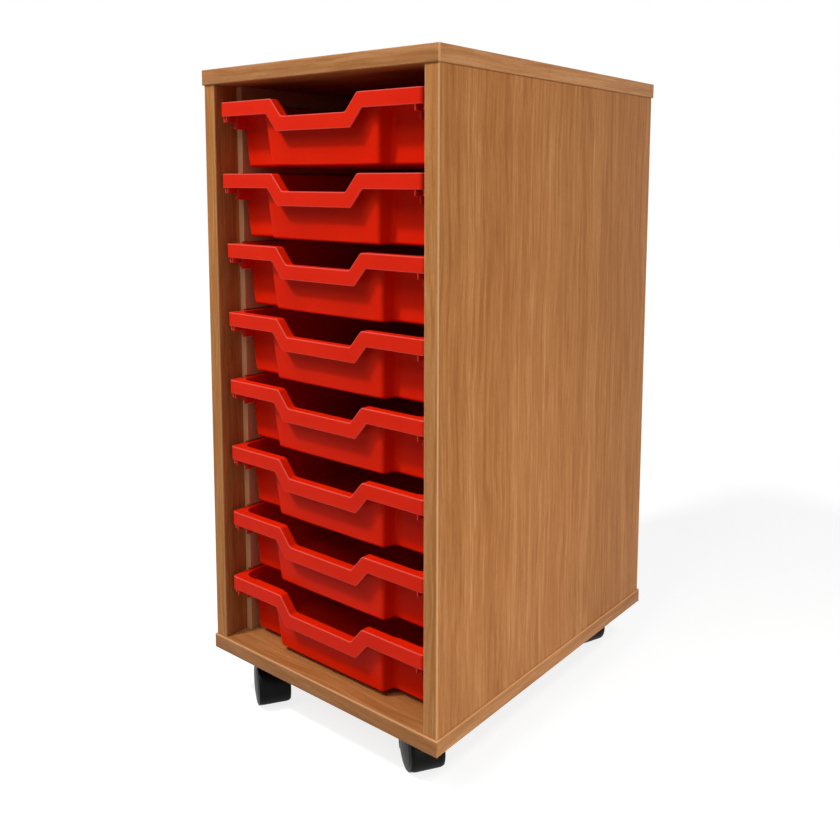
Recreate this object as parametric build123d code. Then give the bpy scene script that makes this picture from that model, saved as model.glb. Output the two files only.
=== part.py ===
from build123d import *
import math
import os

# Mobile classroom storage unit: a beech-faced board carcass on four hooded
# twin-wheel castors, with eight moulded trays hung in grooved runner panels.
# Millimetres, +Z up, front towards -Y, origin on the floor at the footprint's centre.

# ---- trays -----------------------------------------------------------------
TRAY_COUNT = 8
TRAY_PITCH = 83.7            # rim to rim
TRAY_WIDTH = 312.0           # over the rim
TRAY_DEPTH = 427.0
TRAY_HEIGHT = 75.0
TRAY_WALL = 2.2
RIM_CORNER = 5.0             # rim corner radius in plan, at the back
RIM_FRONT_CORNER = 1.4
RIM_OVERHANG = 6.0           # rim beyond the body at the sides and back
SIDE_LIP = 9.0               # down-turned edge that rides in the runner groove
FRONT_LIP = 16.7             # deep flat band across the front
DIP_TOP_HALF = 67.0          # finger dip in the front band
DIP_BOTTOM_HALF = 50.0
DIP_DEPTH = 19.9
DIP_ROUNDING = 5.0
COLLAR_SETBACK = 10.0        # front band to the outside of the tray's front wall
COLLAR_DEPTH = 12.0          # depth of the wide upper part of the tray
COLLAR_CORNER = 22.0
PANEL_HALF = 89.5            # middle part of the front wall
PANEL_TAPER = 5.0
PANEL_RAKE = 6.0
PANEL_FLARE = 0.25           # its side walls spread towards the body, mm per mm
END_WALL_SETBACK = 19.0      # the outer parts of the front wall, behind the middle
END_WALL_RAKE = 2.0
SIDE_TAPER = 8.0             # draft of the sides and back, top to bottom
BACK_CORNER = 10.0
END_CORNER = 3.0
PANEL_CORNER = 5.0
FLOOR_CHAMFER = 2.0
RETURN_SETBACK = 5.0         # front band to the corner return behind each of its ends
RETURN_FRONT_DROP = 23.0
RETURN_REAR_DROP = 30.0
RETURN_STEP = 19.5           # front band to the step in the return
RETURN_LENGTH = 25.0         # front band to the end that meets the runner
RETURN_INSET = 3.4           # inner end of the return's web, in from the tray's side
TRAY_OUT = {1: 4.6, 2: 4.7, 8: 1.5}  # trays that stand a little out from their stops

# ---- carcass ---------------------------------------------------------------
BOARD = 18.0
EDGING = 2.0
EDGING_ROUNDING = 1.2
TOP_OVERHANG = 2.0           # top and base beyond the sides, all round
BACK_BOARD = 8.0
BACK_INSET = 8.0             # back board in from the rear edges of the sides
BACK_GROOVE = 8.0            # depth of its groove
BACK_FIT = 0.3
TRAY_SETBACK = 8.7           # front band behind the front edges of the sides
TRAY_REAR_GAP = 4.3
GAP_OVER_TRAYS = 21.0
GAP_UNDER_TRAYS = 6.1
DOWEL_RADIUS = 4.0
DOWEL_FIT = 0.1
DOWEL_IN_SIDE = 22.0
DOWEL_IN_BOARD = 11.0
DOWEL_END_FIT = 0.5
DOWELS_PER_JOINT = 2
DOWEL_END_MARGIN = 60.0

# ---- runner panels ---------------------------------------------------------
SIDE_GAP = 6.0               # tray rim to the inside of the carcass
RIM_ENGAGEMENT = 3.0         # how far the rim reaches into the runner
GROOVE_END_GAP = 1.5
GROOVE_FLOOR_GAP = 0.3
GROOVE_TOP_GAP = 1.5
STOP_GAP = 0.3               # corner return to the front edge of the runner
RUNNER_REAR_GAP = 7.0
RUNNER_SCREW_RADIUS = 1.75
RUNNER_SCREW_HEAD = 3.5
RUNNER_SCREW_LENGTH = 22.0
RUNNER_HEAD_DEPTH = 3.0
RUNNER_SCREW_COUNT = 3       # rows of screws, spread down the panel
RUNNER_SCREW_DROP = 30.0
RUNNER_SCREW_MARGIN = 45.0
SCREW_FIT = 0.1

# ---- castors ---------------------------------------------------------------
CASTOR_HEIGHT = 65.0
CASTOR_INSET_X = 51.0        # swivel axis in from the side edge of the base
CASTOR_INSET_Y = 46.0
TRAIL = 18.0                 # swivel axis to axle
WHEEL_RADIUS = 25.0
WHEEL_WIDTH = 13.0
WHEEL_CHAMFER = 2.0
WHEEL_DOME = 2.0             # rise of the outer face at the axle
WHEEL_CAP = 2.5              # closed outer face of the wheel beyond the axle's end
AXLE_RADIUS = 3.0
AXLE_FIT = 0.05
AXLE_END_GAP = 0.3
CORE_WIDTH = 12.4            # hood between the wheels
CORE_RADIUS = 22.0
WHEEL_SIDE_GAP = 0.4
HOOD_WALL = 1.8
HOOD_GAP = 0.6               # wheel tread to hood
HOOD_EDGE_HEIGHT = 8.5       # lower edges of the hood above the floor
NECK_RADIUS = 9.5
STEM_RADIUS = 4.5
STEM_FIT = 0.05
STEM_DEPTH = 24.0            # stem in the hood
STEM_COLLAR_RADIUS = 8.0
STEM_COLLAR = 1.6
COLLAR_GAP = 0.3
PLATE_SIZE = 42.0
PLATE_THICKNESS = 2.5
PLATE_CORNER = 5.0
PLATE_HOLE_SPACING = 32.0
PLATE_SCREW_RADIUS = 2.0
PLATE_SCREW_HEAD = 3.6
PLATE_SCREW_HEAD_HEIGHT = 2.2
PLATE_SCREW_LENGTH = 16.0
CASTOR_HEADING = {           # direction from swivel axis to axle, degrees from +X
    "front_left": -32.0,
    "front_right": 148.0,
    "rear_left": 152.0,
    "rear_right": 160.0,
}

# ---- sizes that follow -----------------------------------------------------
carcass_depth = TRAY_SETBACK + TRAY_DEPTH + TRAY_REAR_GAP + BACK_BOARD + BACK_INSET
unit_depth = carcass_depth + 2 * TOP_OVERHANG
inner_width = TRAY_WIDTH + 2 * SIDE_GAP
carcass_width = inner_width + 2 * BOARD
unit_width = carcass_width + 2 * TOP_OVERHANG
inner_height = GAP_UNDER_TRAYS + TRAY_HEIGHT + (TRAY_COUNT - 1) * TRAY_PITCH + GAP_OVER_TRAYS
base_top = CASTOR_HEIGHT + BOARD
top_underside = base_top + inner_height
front_y = -carcass_depth / 2
tray_front = front_y + TRAY_SETBACK
tray_back = tray_front + TRAY_DEPTH
back_y = carcass_depth / 2 - BACK_INSET
runner_front = tray_front + RETURN_LENGTH + STOP_GAP
runner_back = back_y - BACK_BOARD - RUNNER_REAR_GAP
runner_face = TRAY_WIDTH / 2 - RIM_ENGAGEMENT
rim_heights = [top_underside - GAP_OVER_TRAYS - i * TRAY_PITCH for i in range(TRAY_COUNT)]
body_half = TRAY_WIDTH / 2 - RIM_OVERHANG
hood_inner = WHEEL_RADIUS + HOOD_GAP
hood_outer = hood_inner + HOOD_WALL
castor_half = CORE_WIDTH / 2 + WHEEL_SIDE_GAP + WHEEL_WIDTH


def block(x0, x1, y0, y1, z0, z1):
    """Box between two corners."""
    return Pos((x0 + x1) / 2, (y0 + y1) / 2, (z0 + z1) / 2) * Box(x1 - x0, y1 - y0, z1 - z0)


def rod(radius, start, direction, length):
    """Cylinder from a point along a direction."""
    return extrude(Plane(origin=start, z_dir=direction) * Circle(radius), length)


def rounded_plate(x0, x1, y0, y1, z0, z1, radius):
    """Flat plate with rounded corners in plan."""
    outline = Pos((x0 + x1) / 2, (y0 + y1) / 2, z0) * RectangleRounded(x1 - x0, y1 - y0, radius)
    return extrude(outline, z1 - z0)


def write(node, *solids):
    """One node: a single solid or a group of separate ones."""
    shape = solids[0] if len(solids) == 1 else Compound(children=list(solids))
    export_step(shape, f"parts/{node}.step")


# ---- trays -----------------------------------------------------------------
def tray_level(z, inset):
    """Sharp outline of the tray's body at height z below the rim, drawn in by inset."""
    share = (-z - COLLAR_DEPTH) / (TRAY_HEIGHT - COLLAR_DEPTH)
    half = body_half - share * SIDE_TAPER - inset
    panel = PANEL_HALF - share * PANEL_TAPER - inset
    panel_y = tray_front + COLLAR_SETBACK + share * PANEL_RAKE + inset
    end_y = tray_front + COLLAR_SETBACK + END_WALL_SETBACK + share * END_WALL_RAKE + inset
    root = panel + PANEL_FLARE * (end_y - panel_y)
    back = tray_back - RIM_OVERHANG - share * SIDE_TAPER - inset
    outline = [
        (-half, back), (-half, end_y), (-root, end_y), (-panel, panel_y),
        (panel, panel_y), (root, end_y), (half, end_y), (half, back),
    ]
    return [(x, y, z) for x, y in outline]


def rim_plate(z_low, inset):
    """Plate of the rim's outline, drawn in by inset, from height z_low up to the rim's top."""
    half = TRAY_WIDTH / 2 - inset
    face = make_face(Polyline(
        (-half, tray_front + inset), (half, tray_front + inset),
        (half, tray_back - inset), (-half, tray_back - inset), close=True,
    ))
    face = fillet(face.vertices().sort_by(Axis.Y)[2:], RIM_CORNER - inset)
    if RIM_FRONT_CORNER > inset:
        face = fillet(face.vertices().sort_by(Axis.Y)[:2], RIM_FRONT_CORNER - inset)
    return Pos(0, 0, z_low) * extrude(face, -z_low)


def tray_body(z_low, inset, rounding):
    """Drafted body of flat walls from the collar down; rounding pairs outline corners, which
    count from the left back corner and match those from the right back one, with radii."""
    low, high = tray_level(z_low, inset), tray_level(-COLLAR_DEPTH, inset)
    rings = zip(low, low[1:] + low[:1], high[1:] + high[:1], high)
    faces = [make_face(Polyline(*corners, close=True)) for corners in [low, high, *rings]]
    body = Solid(Shell(faces))
    for corner, radius in rounding:
        for i in (corner, len(low) - 1 - corner):
            middle = (Vector(low[i]) + Vector(high[i])) / 2
            body = fillet(body.edges().sort_by_distance(middle)[0], radius)
    return body


def dip_path(drop):
    """Line across the front that follows the finger dip, a constant width below its edge."""
    slope = math.atan2(DIP_DEPTH, DIP_TOP_HALF - DIP_BOTTOM_HALF)
    spread = drop * math.tan(slope / 2)
    half = TRAY_WIDTH / 2
    top = DIP_TOP_HALF + spread
    bottom = DIP_BOTTOM_HALF + spread
    return [
        (-half, -drop), (-top, -drop), (-bottom, -DIP_DEPTH - drop),
        (bottom, -DIP_DEPTH - drop), (top, -drop), (half, -drop),
    ]


def dip_band(width):
    """Face between the dip's edge and the same line a width below it."""
    upper = FilletPolyline(*dip_path(0), radius=DIP_ROUNDING)
    lower = Polyline(*dip_path(width))
    ends = [Line(upper @ 0, lower @ 0), Line(upper @ 1, lower @ 1)]
    return make_face([upper, lower, *ends])


def front_prism(face, depth):
    """Face drawn in X and Z, extruded back from the tray's front."""
    plane = Plane(origin=(0, tray_front, 0), x_dir=(1, 0, 0), z_dir=(0, -1, 0))
    return extrude(plane * face, -depth)


def tray():
    """One moulded tray with its rim at height 0."""
    half = TRAY_WIDTH / 2
    collar_y = tray_front + COLLAR_SETBACK
    collar_back = tray_back - RIM_OVERHANG
    inner_corner = COLLAR_CORNER - TRAY_WALL
    collar_low = -COLLAR_DEPTH - TRAY_WALL

    rim = rim_plate(-TRAY_WALL, 0)
    lip = rim_plate(-SIDE_LIP, 0) - rim_plate(-SIDE_LIP, TRAY_WALL)
    collar = rounded_plate(-body_half, body_half, collar_y, collar_back, collar_low, 0, COLLAR_CORNER)
    back, end, panel = 0, 1, 3
    body = tray_body(-TRAY_HEIGHT, 0, [(back, BACK_CORNER), (end, END_CORNER), (panel, PANEL_CORNER)])
    body = chamfer(body.faces().sort_by(Axis.Z)[0].edges(), FLOOR_CHAMFER)
    hollow = rounded_plate(
        -body_half + TRAY_WALL, body_half - TRAY_WALL, collar_y + TRAY_WALL, collar_back - TRAY_WALL,
        -COLLAR_DEPTH, 0, inner_corner,
    )
    well = tray_body(-TRAY_HEIGHT + TRAY_WALL, TRAY_WALL, [(back, BACK_CORNER - TRAY_WALL)])
    shell = rim + lip + collar + body - hollow - well

    above_dip = make_face([
        FilletPolyline(*dip_path(0), radius=DIP_ROUNDING),
        Polyline((-half, 0), (-half, TRAY_WALL), (half, TRAY_WALL), (half, 0)),
    ])
    shell -= front_prism(above_dip, COLLAR_SETBACK + END_WALL_SETBACK)
    shell += front_prism(dip_band(FRONT_LIP), TRAY_WALL)
    shell += front_prism(dip_band(TRAY_WALL), COLLAR_SETBACK + TRAY_WALL)

    step_y = tray_front + RETURN_STEP
    end_y = tray_front + RETURN_LENGTH
    end_wall_y = collar_y + END_WALL_SETBACK + TRAY_WALL / 2
    ledge = -COLLAR_DEPTH - TRAY_WALL / 2
    for side in (-1, 1):
        x0, x1 = sorted((side * half, side * (half - TRAY_WALL)))
        shell += block(x0, x1, tray_front + RETURN_SETBACK, step_y, -RETURN_FRONT_DROP, -TRAY_WALL)
        shell += block(x0, x1, step_y, end_y, -RETURN_REAR_DROP, -TRAY_WALL)
        inner = side * (body_half - RETURN_INSET)
        x0, x1 = sorted((side * half, inner))
        shell += block(x0, x1, end_y - TRAY_WALL, end_y, -RETURN_REAR_DROP, -TRAY_WALL)
        x0, x1 = sorted((inner + side * TRAY_WALL, inner))
        shell += block(x0, x1, end_y - TRAY_WALL, end_wall_y, -RETURN_REAR_DROP, ledge)
    return shell


# ---- carcass ---------------------------------------------------------------
def edged_board(half_x, half_y, z0):
    """Flat board with edging strips glued round it: the core and the four strips."""
    core = block(-half_x + EDGING, half_x - EDGING, -half_y + EDGING, half_y - EDGING, z0, z0 + BOARD)
    strips = []
    for side in (-1, 1):
        y0, y1 = sorted((side * half_y, side * (half_y - EDGING)))
        strip = block(-half_x, half_x, y0, y1, z0, z0 + BOARD)
        outer = strip.faces().sort_by(Axis.Y)[-1 if side > 0 else 0].edges()
        strips.append(fillet(outer, EDGING_ROUNDING))
        x0, x1 = sorted((side * half_x, side * (half_x - EDGING)))
        strip = block(x0, x1, -half_y + EDGING, half_y - EDGING, z0, z0 + BOARD)
        outer = strip.faces().sort_by(Axis.X)[-1 if side > 0 else 0].edges().filter_by(Axis.Y)
        strips.append(fillet(outer, EDGING_ROUNDING))
    return core, strips


def dowel_places():
    """X and Y of the dowels along both side joints."""
    x = inner_width / 2 + BOARD / 2
    run = carcass_depth - 2 * DOWEL_END_MARGIN
    ys = [front_y + DOWEL_END_MARGIN + run * i / (DOWELS_PER_JOINT - 1) for i in range(DOWELS_PER_JOINT)]
    return [(side * x, y) for side in (-1, 1) for y in ys]


def dowels(joint_z, up, clearance):
    """Dowels across a joint at height joint_z; up is the way into the side board."""
    low = joint_z - up * (DOWEL_IN_BOARD + clearance)
    length = DOWEL_IN_BOARD + DOWEL_IN_SIDE + 2 * clearance
    radius = DOWEL_RADIUS + (DOWEL_FIT if clearance else 0)
    return [rod(radius, (x, y, low), (0, 0, up), length) for x, y in dowel_places()]


def prism(radius, start, direction, length):
    """Six-sided bar from a point along a direction, its corners on the radius."""
    return extrude(Plane(origin=start, z_dir=direction) * RegularPolygon(radius, 6), length)


def runner_screw(head_at, direction, clearance):
    """Self-cutting hexagon screw, its head sunk in the panel; with a clearance, its hole."""
    shank = prism(RUNNER_SCREW_RADIUS + clearance, head_at, direction, RUNNER_SCREW_LENGTH + clearance)
    return shank + prism(RUNNER_SCREW_HEAD + clearance, head_at, direction, RUNNER_HEAD_DEPTH)


def runner_screw_places():
    """Y and Z of the screws in a runner panel."""
    ys = (runner_front + RUNNER_SCREW_MARGIN, runner_back - RUNNER_SCREW_MARGIN)
    every = (TRAY_COUNT - 1) // (RUNNER_SCREW_COUNT - 1)
    rows = [rim_heights[every * i] for i in range(RUNNER_SCREW_COUNT)]
    return [(y, rim - RUNNER_SCREW_DROP) for rim in rows for y in ys]


def runner_screws(side, clearance):
    """Screws through a runner panel into its side board."""
    places = runner_screw_places()
    return [runner_screw((side * runner_face, y, z), (side, 0, 0), clearance) for y, z in places]


def runner_panel(side):
    """Plastic panel on the inside of a side board, with one groove for each tray's rim."""
    x0, x1 = sorted((side * runner_face, side * inner_width / 2))
    panel = block(x0, x1, runner_front, runner_back, base_top, top_underside)
    groove_end = TRAY_WIDTH / 2 + GROOVE_END_GAP
    x0, x1 = sorted((side * runner_face, side * groove_end))
    for rim in rim_heights:
        panel -= block(x0, x1, runner_front, runner_back,
                       rim - SIDE_LIP - GROOVE_FLOOR_GAP, rim + GROOVE_TOP_GAP)
    for hole in runner_screws(side, SCREW_FIT):
        panel -= hole
    return panel


def side_board(side):
    """Side board between the base and the top: its core and its two edging strips."""
    inner = side * inner_width / 2
    outer = side * carcass_width / 2
    x0, x1 = sorted((inner, outer))
    core = block(x0, x1, front_y + EDGING, -front_y - EDGING, base_top, top_underside)
    core -= back_board(BACK_FIT)
    for hole in dowels(base_top, 1, DOWEL_END_FIT) + dowels(top_underside, -1, DOWEL_END_FIT):
        core -= hole
    for hole in runner_screws(side, SCREW_FIT):
        core -= hole
    strips = []
    for end in (-1, 1):
        y0, y1 = sorted((-end * front_y, -end * (front_y + EDGING)))
        strip = block(x0, x1, y0, y1, base_top, top_underside)
        face = strip.faces().sort_by(Axis.Y)[-1 if end > 0 else 0]
        strips.append(fillet(face.edges().filter_by(Axis.Z), EDGING_ROUNDING))
    return core, strips


def back_board(clearance):
    """Back board let into grooves all round; with a clearance, the groove cutter."""
    reach = BACK_GROOVE + clearance
    return block(
        -inner_width / 2 - reach, inner_width / 2 + reach,
        back_y - BACK_BOARD - clearance, back_y + clearance,
        base_top - reach, top_underside + reach,
    )


# ---- castors ---------------------------------------------------------------
def castor_places():
    """Name, swivel axis and heading of each castor."""
    x = unit_width / 2 - CASTOR_INSET_X
    y = unit_depth / 2 - CASTOR_INSET_Y
    signs = {"front_left": (-1, -1), "front_right": (1, -1), "rear_left": (-1, 1), "rear_right": (1, 1)}
    return [(name, sx * x, sy * y, CASTOR_HEADING[name]) for name, (sx, sy) in signs.items()]


def plate_corners():
    """Screw holes of a castor's plate, about its swivel axis."""
    half = PLATE_HOLE_SPACING / 2
    return [(sx * half, sy * half) for sx in (-1, 1) for sy in (-1, 1)]


def castor_plate():
    """Steel top plate with four screw holes and the stem's hole."""
    half = PLATE_SIZE / 2
    low = CASTOR_HEIGHT - PLATE_THICKNESS
    plate = rounded_plate(-half, half, -half, half, low, CASTOR_HEIGHT, PLATE_CORNER)
    for x, y in plate_corners():
        plate -= prism(PLATE_SCREW_RADIUS + SCREW_FIT, (x, y, low), (0, 0, 1), PLATE_THICKNESS)
    return plate - rod(STEM_RADIUS + STEM_FIT, (0, 0, low), (0, 0, 1), PLATE_THICKNESS)


def castor_stem():
    """Steel stem riveted through the plate, with the collar that bears on the hood."""
    collar_top = CASTOR_HEIGHT - PLATE_THICKNESS
    stem_foot = collar_top - STEM_COLLAR - STEM_DEPTH
    stem = rod(STEM_RADIUS, (0, 0, stem_foot), (0, 0, 1), CASTOR_HEIGHT - stem_foot)
    return stem + rod(STEM_COLLAR_RADIUS, (0, 0, collar_top - STEM_COLLAR), (0, 0, 1), STEM_COLLAR)


def castor_screws(clearance):
    """Hexagon screws up through the plate into the base; with a clearance, their holes."""
    low = CASTOR_HEIGHT - PLATE_THICKNESS
    solids = []
    for x, y in plate_corners():
        shank = prism(PLATE_SCREW_RADIUS + clearance, (x, y, low), (0, 0, 1),
                      PLATE_SCREW_LENGTH + clearance)
        head = prism(PLATE_SCREW_HEAD, (x, y, low), (0, 0, -1), PLATE_SCREW_HEAD_HEIGHT)
        solids.append(shank if clearance else shank + head)
    return solids


def castor_hood():
    """Moulded hood: the core between the wheels, the cover over their treads and the neck."""
    neck_top = CASTOR_HEIGHT - PLATE_THICKNESS - STEM_COLLAR - COLLAR_GAP
    drop = math.asin((WHEEL_RADIUS - HOOD_EDGE_HEIGHT) / hood_outer)
    cover = rod(hood_outer, (TRAIL, -castor_half, WHEEL_RADIUS), (0, 1, 0), 2 * castor_half)
    cover -= rod(hood_inner, (TRAIL, -castor_half, WHEEL_RADIUS), (0, 1, 0), 2 * castor_half)
    reach = hood_outer * 2
    below = block(TRAIL - reach, TRAIL + reach, -reach, reach,
                  WHEEL_RADIUS - reach, WHEEL_RADIUS - hood_outer * math.sin(drop))
    cover -= below
    core = rod(CORE_RADIUS, (TRAIL, -CORE_WIDTH / 2, WHEEL_RADIUS), (0, 1, 0), CORE_WIDTH)
    web = block(TRAIL - reach, TRAIL, -CORE_WIDTH / 2, CORE_WIDTH / 2, HOOD_EDGE_HEIGHT, WHEEL_RADIUS)
    web += block(0, TRAIL, -CORE_WIDTH / 2, CORE_WIDTH / 2, WHEEL_RADIUS, WHEEL_RADIUS + hood_inner)
    web &= rod(hood_inner + HOOD_WALL / 2, (TRAIL, -CORE_WIDTH / 2, WHEEL_RADIUS), (0, 1, 0), CORE_WIDTH)
    neck = rod(NECK_RADIUS, (0, 0, WHEEL_RADIUS), (0, 0, 1), neck_top - WHEEL_RADIUS)
    wheels = rod(hood_inner, (TRAIL, CORE_WIDTH / 2, WHEEL_RADIUS), (0, 1, 0), castor_half)
    neck -= wheels
    neck -= mirror(wheels, Plane.XZ)
    hood = cover + core + web + neck
    stem_foot = CASTOR_HEIGHT - PLATE_THICKNESS - STEM_COLLAR - STEM_DEPTH
    hood -= rod(STEM_RADIUS + STEM_FIT, (0, 0, stem_foot - COLLAR_GAP), (0, 0, 1), CASTOR_HEIGHT)
    hood -= rod(AXLE_RADIUS, (TRAIL, -CORE_WIDTH / 2, WHEEL_RADIUS), (0, 1, 0), CORE_WIDTH)
    return hood


def castor_axle():
    """Steel pin pressed through the core, one end in each wheel."""
    half = castor_half - WHEEL_CAP - AXLE_END_GAP
    return rod(AXLE_RADIUS, (TRAIL, -half, WHEEL_RADIUS), (0, 1, 0), 2 * half)


def castor_wheel(side):
    """One wheel of a pair, with a domed outer face and a blind bore from its inner face."""
    inner = side * (CORE_WIDTH / 2 + WHEEL_SIDE_GAP)
    wheel = rod(WHEEL_RADIUS, (TRAIL, inner, WHEEL_RADIUS), (0, side, 0), WHEEL_WIDTH)
    rims = wheel.edges().filter_by(GeomType.CIRCLE).sort_by(Axis.Y)
    wheel = chamfer(rims[-1 if side > 0 else 0], WHEEL_CHAMFER)
    flat = WHEEL_RADIUS - WHEEL_CHAMFER
    ball_radius = (flat ** 2 + WHEEL_DOME ** 2) / (2 * WHEEL_DOME)
    face = inner + side * WHEEL_WIDTH
    dome = rod(flat, (TRAIL, face, WHEEL_RADIUS), (0, side, 0), WHEEL_DOME)
    dome &= Pos(TRAIL, face + side * (WHEEL_DOME - ball_radius), WHEEL_RADIUS) * Sphere(ball_radius)
    wheel += dome
    bore_length = WHEEL_WIDTH - WHEEL_CAP
    return wheel - rod(AXLE_RADIUS + AXLE_FIT, (TRAIL, inner, WHEEL_RADIUS), (0, side, 0), bore_length)


# ---- build -----------------------------------------------------------------
os.makedirs("parts", exist_ok=True)

one_tray = tray()
for number, rim in enumerate(rim_heights, 1):
    write(f"tray_{number}", Pos(0, -TRAY_OUT.get(number, 0), rim) * one_tray)

top, top_strips = edged_board(unit_width / 2, unit_depth / 2, top_underside)
base, base_strips = edged_board(unit_width / 2, unit_depth / 2, CASTOR_HEIGHT)
for hole in dowels(top_underside, -1, DOWEL_END_FIT):
    top -= hole
for hole in dowels(base_top, 1, DOWEL_END_FIT):
    base -= hole
for name, x, y, heading in castor_places():
    for hole in castor_screws(SCREW_FIT):
        base -= Pos(x, y, 0) * hole
write("top_panel", top - back_board(BACK_FIT))
write("base_panel", base - back_board(BACK_FIT))
write("top_edging", *top_strips)
write("base_edging", *base_strips)
write("back_panel", back_board(0))
write("top_joint_dowels", *dowels(top_underside, -1, 0))
write("base_joint_dowels", *dowels(base_top, 1, 0))

for name, side in (("left", -1), ("right", 1)):
    core, strips = side_board(side)
    write(f"{name}_side_panel", core)
    write(f"{name}_side_edging", *strips)
    write(f"{name}_runner_panel", runner_panel(side))
    write(f"{name}_runner_screws", *runner_screws(side, 0))

plates, stems, screws = [], [], []
for name, x, y, heading in castor_places():
    fixed = Pos(x, y, 0)
    turned = Pos(x, y, 0) * Rot(0, 0, heading)
    plates.append(fixed * castor_plate())
    stems.append(fixed * castor_stem())
    screws += [fixed * solid for solid in castor_screws(0)]
    write(f"{name}_castor_hood", turned * castor_hood())
    write(f"{name}_castor_axle", turned * castor_axle())
    write(f"{name}_wheel_1", turned * castor_wheel(-1))
    write(f"{name}_wheel_2", turned * castor_wheel(1))
write("castor_plates", *plates)
write("castor_stems", *stems)
write("castor_screws", *screws)
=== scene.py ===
import math

import bpy
import numpy as np
from mathutils import Matrix, Vector


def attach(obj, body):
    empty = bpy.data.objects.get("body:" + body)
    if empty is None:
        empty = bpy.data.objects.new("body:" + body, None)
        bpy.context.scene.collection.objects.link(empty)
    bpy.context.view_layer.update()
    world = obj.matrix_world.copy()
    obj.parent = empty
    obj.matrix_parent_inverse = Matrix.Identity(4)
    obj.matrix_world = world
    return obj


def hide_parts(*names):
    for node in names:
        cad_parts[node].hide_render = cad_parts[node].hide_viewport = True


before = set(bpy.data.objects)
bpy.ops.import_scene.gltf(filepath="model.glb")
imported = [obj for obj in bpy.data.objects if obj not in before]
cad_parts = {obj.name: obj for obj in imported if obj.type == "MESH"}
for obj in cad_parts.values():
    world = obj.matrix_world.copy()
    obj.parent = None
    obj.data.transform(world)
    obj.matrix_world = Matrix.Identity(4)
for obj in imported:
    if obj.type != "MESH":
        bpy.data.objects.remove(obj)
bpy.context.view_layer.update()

# ---- Camera, lamps and floor -------------------------------------------------
# The unit stands on a plain white floor. The camera is at its front right, level
# with the upper trays. A small lamp high at the front left casts the bands' shadows,
# a wide one in front fills them, and two small ones light the right side, one low.
CAMERA_PLACE = (0.7299, -0.9124, 0.6553)
CAMERA_HEADING = 38.49   # degrees, turned to the left of straight ahead
CAMERA_PITCH = -6.38
CAMERA_ROLL = 0.25
LENS, SENSOR = 38.80, 36.0   # millimetres
LENS_SHIFT = (-0.0269, -0.1604)
SKY = 0.15               # strength of the sky's light on surfaces
FLOOR_GREY = (0.34, 0.34, 0.34, 1.0)
FLOOR_HALF = 9.0         # metres from the unit to the floor's edges
FLOOR_GLOW = (0.82, 1.0) # what the camera sees added to the floor, at the unit and far off
GLOW_ENDS = (1.0, 3.5)   # metres from the unit between which that changes
WHITE = (1.0, 1.0, 1.0, 1.0)
LAMPS = {                # place, aimed at, size in metres, watts
    "high_lamp": ((-0.83, -1.8, 2.84), (0.0, -0.2, 0.45), 0.26, 52.0),
    "front_lamp": ((-0.1, -1.6, 2.3), (0.0, 0.0, 0.45), 1.5, 26.5),
    "side_lamp": ((0.95, -0.17, 1.3), (0.18, 0.0, 0.50), 0.20, 5.2),
    "low_lamp": ((0.95, -0.17, 0.16), (0.18, 0.0, 0.15), 0.20, 4.0),
}

scene = bpy.context.scene
scene.view_settings.view_transform = "Standard"

camera = bpy.data.objects.new("camera", bpy.data.cameras.new("camera"))
scene.collection.objects.link(camera)
scene.camera = camera
camera.data.lens = LENS
camera.data.sensor_width = SENSOR
camera.data.shift_x, camera.data.shift_y = LENS_SHIFT
camera.matrix_world = (
    Matrix.Translation(CAMERA_PLACE)
    @ Matrix.Rotation(math.radians(CAMERA_HEADING), 4, "Z")
    @ Matrix.Rotation(math.radians(90.0 + CAMERA_PITCH), 4, "X")
    @ Matrix.Rotation(math.radians(CAMERA_ROLL), 4, "Z")
)

for name, (place, target, size, power) in LAMPS.items():
    lamp = bpy.data.objects.new(name, bpy.data.lights.new(name, "AREA"))
    scene.collection.objects.link(lamp)
    lamp.data.size = size
    lamp.data.energy = power
    aim = Vector(target) - Vector(place)
    lamp.matrix_world = Matrix.Translation(place) @ aim.to_track_quat("-Z", "Y").to_matrix().to_4x4()


def feed(tree, target, inputs):
    """Sets the sockets of a node, found by name or number, to values or to outputs of others."""
    for socket, value in dict(inputs).items():
        if isinstance(value, bpy.types.NodeSocket):
            tree.links.new(value, target.inputs[socket])
        else:
            target.inputs[socket].default_value = value


def node(tree, kind, inputs=(), **settings):
    """Shader node of a kind, with its settings made and its sockets fed."""
    made = tree.nodes.new("ShaderNode" + kind)
    for key, value in settings.items():
        setattr(made, key, value)
    feed(tree, made, inputs)
    return made


def reckoned(tree, operation, *values):
    """Result of an operation on one or two values."""
    return node(tree, "Math", dict(enumerate(values)), operation=operation).outputs[0]


def remapped(tree, value, low, high, at_low=0.0, at_high=1.0):
    """at_low where the value is low or less, at_high where it is high or more, in proportion between."""
    return node(tree, "MapRange", {0: value, 1: low, 2: high, 3: at_low, 4: at_high}).outputs[0]


def seen_directly(tree):
    """1 on rays from the camera and on mirrored and refracted rays, 0 on the light's own."""
    path = node(tree, "LightPath").outputs
    either = reckoned(tree, "MAXIMUM", path["Is Camera Ray"], path["Is Glossy Ray"])
    return reckoned(tree, "MAXIMUM", either, path["Is Transmission Ray"])


def new_material(name):
    """Material, its node tree, its shader and the place on the object, in metres."""
    made = bpy.data.materials.new(name)
    made.use_nodes = True
    tree = made.node_tree
    return made, tree, tree.nodes["Principled BSDF"], node(tree, "TexCoord").outputs["Object"]


world = bpy.data.worlds.new("studio")
scene.world = world
world.use_nodes = True
sky = world.node_tree
shine = remapped(sky, seen_directly(sky), 0.0, 1.0, SKY, 1.0)
feed(sky, sky.nodes["Background"], {"Color": WHITE, "Strength": shine})

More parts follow.
